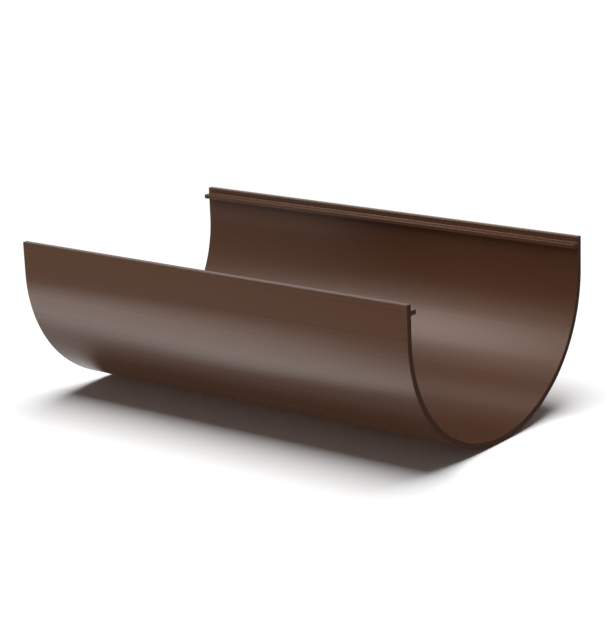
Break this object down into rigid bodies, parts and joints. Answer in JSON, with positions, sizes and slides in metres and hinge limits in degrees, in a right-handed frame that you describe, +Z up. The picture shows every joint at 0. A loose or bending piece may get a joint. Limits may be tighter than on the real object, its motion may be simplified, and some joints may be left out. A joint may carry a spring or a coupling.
{
  "type": "gutter section",
  "caption": "Short length of deep half-round rainwater gutter in brown rigid plastic: an open channel with upright walls, a clip rib inside each rim and square-cut ends.",
  "frame": {"origin": "on the lowest line of the outside, half way along the gutter, where it rests on the floor", "axes": "+X along the channel, +Y across it, +Z up through the open top"},
  "size_m": [0.201, 0.125, 0.0724],
  "materials": {
    "brown_plastic": "dark brown rigid plastic as extruded, semi-gloss"
  },
  "bodies": {
    "root": {"gutter_section": "brown_plastic"}
  },
  "joints": []
}
